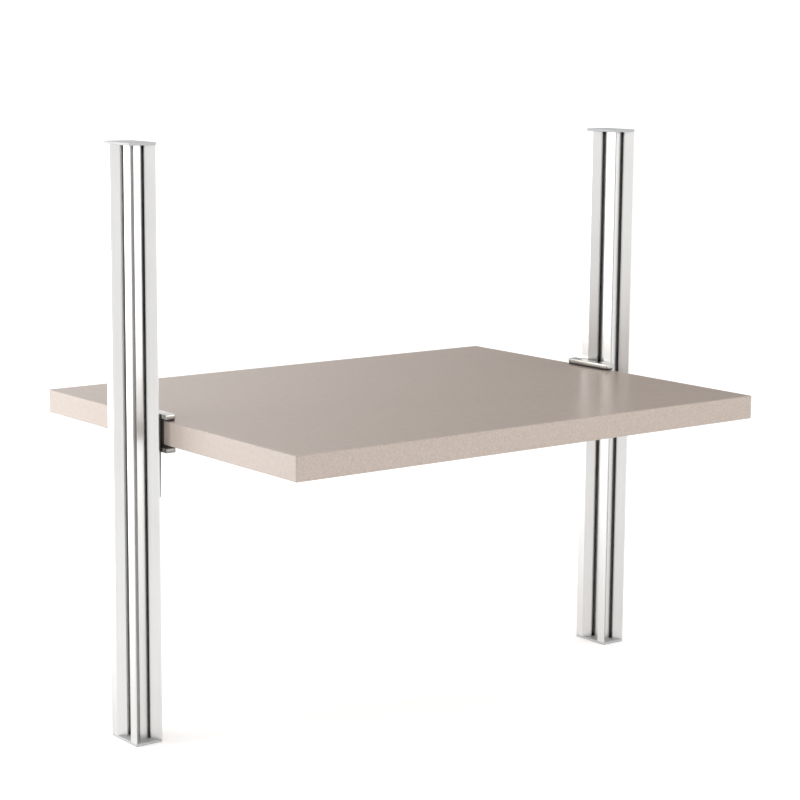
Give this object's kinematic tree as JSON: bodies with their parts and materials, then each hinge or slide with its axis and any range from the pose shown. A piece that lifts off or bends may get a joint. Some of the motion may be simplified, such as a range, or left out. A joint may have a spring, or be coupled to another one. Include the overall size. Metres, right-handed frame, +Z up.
{
  "type": "shelving unit",
  "caption": "Laminated shelf board clamped by its ends between slotted aluminium uprights, with rubber-lined jaws that slide in the slots.",
  "frame": {"origin": "on the ground, below the middle of the board", "axes": "+Z up, +X along the board towards its right end, +Y from the board's front edge to its back edge"},
  "size_m": [0.6732, 0.47, 0.61],
  "materials": {
    "board_core": "raw particle board",
    "laminate": "satin taupe laminate",
    "edge_band": "finely speckled taupe edge band",
    "anodised_aluminium": "satin anodised",
    "cap_plastic": "light grey moulded",
    "black_steel": "black powder coat",
    "satin_metal": "satin nickel",
    "black_rubber": "matt",
    "zinc_steel": "zinc plated"
  },
  "bodies": {
    "frame": {"left_upright": "anodised_aluminium", "right_upright": "anodised_aluminium", "left_top_cap": "cap_plastic", "right_top_cap": "cap_plastic", "left_bottom_cap": "cap_plastic", "right_bottom_cap": "cap_plastic"},
    "left_clamp": {"left_back_plate": "black_steel", "left_upper_jaw": "satin_metal", "left_upper_liner": "black_rubber", "left_upper_screw_1": "zinc_steel", "left_upper_screw_2": "zinc_steel", "left_upper_slot_nut": "zinc_steel", "left_jaw_washer": "zinc_steel", "left_lower_slot_nut": "zinc_steel"},
    "right_clamp": {"right_back_plate": "black_steel", "right_upper_jaw": "satin_metal", "right_upper_liner": "black_rubber", "right_upper_screw_1": "zinc_steel", "right_upper_screw_2": "zinc_steel", "right_upper_slot_nut": "zinc_steel", "right_jaw_washer": "zinc_steel", "right_lower_slot_nut": "zinc_steel"},
    "left_lower_jaw": {"left_lower_jaw": "satin_metal", "left_lower_pad": "black_rubber"},
    "right_lower_jaw": {"right_lower_jaw": "satin_metal", "right_lower_pad": "black_rubber"},
    "left_jaw_screw": {"left_jaw_screw": "zinc_steel"},
    "right_jaw_screw": {"right_jaw_screw": "zinc_steel"},
    "shelf": {"shelf_core": "board_core", "top_laminate": "laminate", "bottom_laminate": "laminate", "front_edge_band": "edge_band", "back_edge_band": "edge_band", "left_edge_band": "edge_band", "right_edge_band": "edge_band"}
  },
  "joints": [
    {"name": "shelf_height", "type": "slide", "parent": "frame", "child": "left_clamp", "axis": [0, 0, 1], "range_m": [-0.244, 0.26]},
    {"name": "right_clamp_height", "type": "slide", "parent": "frame", "child": "right_clamp", "axis": [0, 0, 1], "range_m": [-0.244, 0.26]},
    {"name": "shelf_depth", "type": "slide", "parent": "left_clamp", "child": "shelf", "axis": [0, 1, 0], "range_m": [-0.15, 0.15]},
    {"name": "left_jaw_opening", "type": "slide", "parent": "left_clamp", "child": "left_lower_jaw", "axis": [0, 0, -1], "range_m": [0, 0.012]},
    {"name": "right_jaw_opening", "type": "slide", "parent": "right_clamp", "child": "right_lower_jaw", "axis": [0, 0, -1], "range_m": [0, 0.012]},
    {"name": "left_jaw_screw_turn", "type": "hinge", "parent": "left_clamp", "child": "left_jaw_screw", "pos_m": [-0.2999, 0.0205, 0.275], "axis": [1, 0, 0], "range_deg": [0, 720]},
    {"name": "right_jaw_screw_turn", "type": "hinge", "parent": "right_clamp", "child": "right_jaw_screw", "pos_m": [0.2999, 0.0205, 0.275], "axis": [-1, 0, 0], "range_deg": [0, 720]}
  ],
  "couplings": [
    {"joint": "right_clamp_height", "follows": "shelf_height", "ratio": 1}
  ]
}
